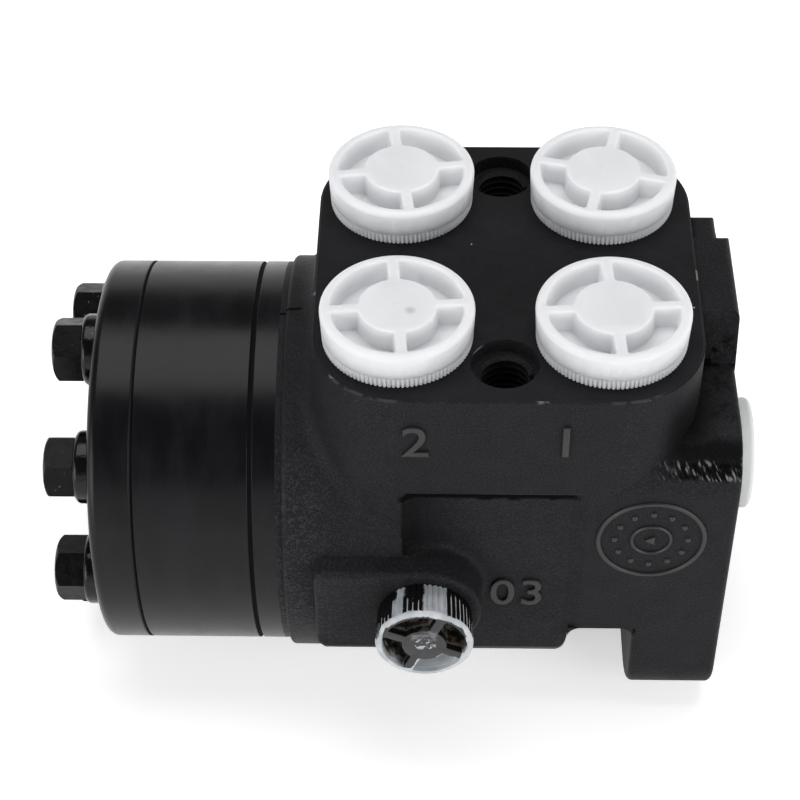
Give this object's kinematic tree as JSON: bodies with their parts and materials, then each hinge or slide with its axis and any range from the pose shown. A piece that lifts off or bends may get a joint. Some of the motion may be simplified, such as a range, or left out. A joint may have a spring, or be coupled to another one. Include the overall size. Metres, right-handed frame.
{
  "type": "orbital steering metering pump",
  "caption": "Cast steering unit with a stacked gear-set cylinder, flat port face, column flange, side signal port and milky shipping plugs.",
  "frame": {"origin": "centre of the column flange's face, on the shaft axis", "axes": "+X along the shaft, out of the column flange and away from the body; +Z out of the port face; the signal port faces -Y"},
  "size_m": [0.1603, 0.1048, 0.1117],
  "materials": {
    "casting_paint": "satin black paint over a sand casting",
    "gear_set_paint": "glossy black paint over ground steel",
    "screw_black": "black paint over forged screw heads",
    "washer_black": "glossy black paint over turned washers",
    "ground_steel": "oiled ground steel",
    "seal_rubber": "smooth nitrile rubber",
    "plug_plastic": "milky white polyethylene",
    "small_plug_plastic": "natural polyethylene with black overspray"
  },
  "bodies": {
    "casing": {"housing": "casting_paint", "distributor_plate": "gear_set_paint", "gear_ring": "gear_set_paint", "end_cover": "gear_set_paint", "cover_bolts": "screw_black", "check_valve_screw": "screw_black", "cover_washers": "washer_black", "check_valve_seat": "ground_steel", "bearing_outer_race": "ground_steel", "shaft_seal": "seal_rubber", "dust_seal": "seal_rubber", "housing_oring": "seal_rubber", "ring_oring_plate_side": "seal_rubber", "ring_oring_cover_side": "seal_rubber"},
    "sleeve": {"control_sleeve": "ground_steel", "cross_pin": "ground_steel", "centring_springs": "ground_steel", "spring_ring": "ground_steel", "bearing_inner_race": "ground_steel"},
    "spool": {"control_spool": "ground_steel"},
    "orbit": {"spacer": "ground_steel"},
    "rotor": {"gear_rotor": "ground_steel"},
    "drive": {"cardan_shaft": "ground_steel"},
    "bearing_roll": {"bearing_cage": "ground_steel", "bearing_needles": "ground_steel"},
    "check_ball": {"check_valve_ball": "ground_steel"},
    "signal_plug": {"signal_port_plug": "small_plug_plastic"},
    "column_plug": {"shaft_plug": "plug_plastic"},
    "plug_near_left": {"port_plug_near_left": "plug_plastic"},
    "plug_near_right": {"port_plug_near_right": "plug_plastic"},
    "plug_far_left": {"port_plug_far_left": "plug_plastic"},
    "plug_far_right": {"port_plug_far_right": "plug_plastic"}
  },
  "joints": [
    {"name": "sleeve_turn", "type": "hinge", "parent": "casing", "child": "sleeve", "pos_m": [0, 0, 0], "axis": [1, 0, 0], "continuous": true},
    {"name": "spool_lag", "type": "hinge", "parent": "sleeve", "child": "spool", "pos_m": [0, 0, 0], "axis": [1, 0, 0], "range_deg": [-8, 8], "stiffness_Nm_per_rad": 8, "deforming": ["centring_springs"]},
    {"name": "rotor_orbit", "type": "hinge", "parent": "casing", "child": "orbit", "pos_m": [0, 0, 0], "axis": [1, 0, 0], "continuous": true},
    {"name": "rotor_turn", "type": "hinge", "parent": "orbit", "child": "rotor", "pos_m": [-0.1186, 0, 0.0038], "axis": [1, 0, 0], "continuous": true},
    {"name": "drive_turn", "type": "hinge", "parent": "orbit", "child": "drive", "pos_m": [-0.036, 0, 0], "axis": [0.999, 0, -0.0457], "continuous": true},
    {"name": "bearing_turn", "type": "hinge", "parent": "casing", "child": "bearing_roll", "pos_m": [0, 0, 0], "axis": [1, 0, 0], "continuous": true},
    {"name": "ball_lift", "type": "slide", "parent": "casing", "child": "check_ball", "axis": [1, 0, 0], "range_m": [0, 0.0018]},
    {"name": "plug_near_left_pull", "type": "slide", "parent": "casing", "child": "plug_near_left", "axis": [0, 0, 1], "range_m": [0, 0.014]},
    {"name": "plug_near_right_pull", "type": "slide", "parent": "casing", "child": "plug_near_right", "axis": [0, 0, 1], "range_m": [0, 0.014]},
    {"name": "plug_far_left_pull", "type": "slide", "parent": "casing", "child": "plug_far_left", "axis": [0, 0, 1], "range_m": [0, 0.014]},
    {"name": "plug_far_right_pull", "type": "slide", "parent": "casing", "child": "plug_far_right", "axis": [0, 0, 1], "range_m": [0, 0.014]},
    {"name": "signal_plug_pull", "type": "slide", "parent": "casing", "child": "signal_plug", "axis": [0, -1, 0], "range_m": [0, 0.012]},
    {"name": "column_plug_pull", "type": "slide", "parent": "spool", "child": "column_plug", "axis": [1, 0, 0], "range_m": [0, 0.015]}
  ],
  "couplings": [
    {"joint": "rotor_orbit", "follows": "sleeve_turn", "ratio": -6},
    {"joint": "rotor_turn", "follows": "sleeve_turn", "ratio": 7},
    {"joint": "drive_turn", "follows": "sleeve_turn", "ratio": 7},
    {"joint": "bearing_turn", "follows": "sleeve_turn", "ratio": 0.5}
  ]
}
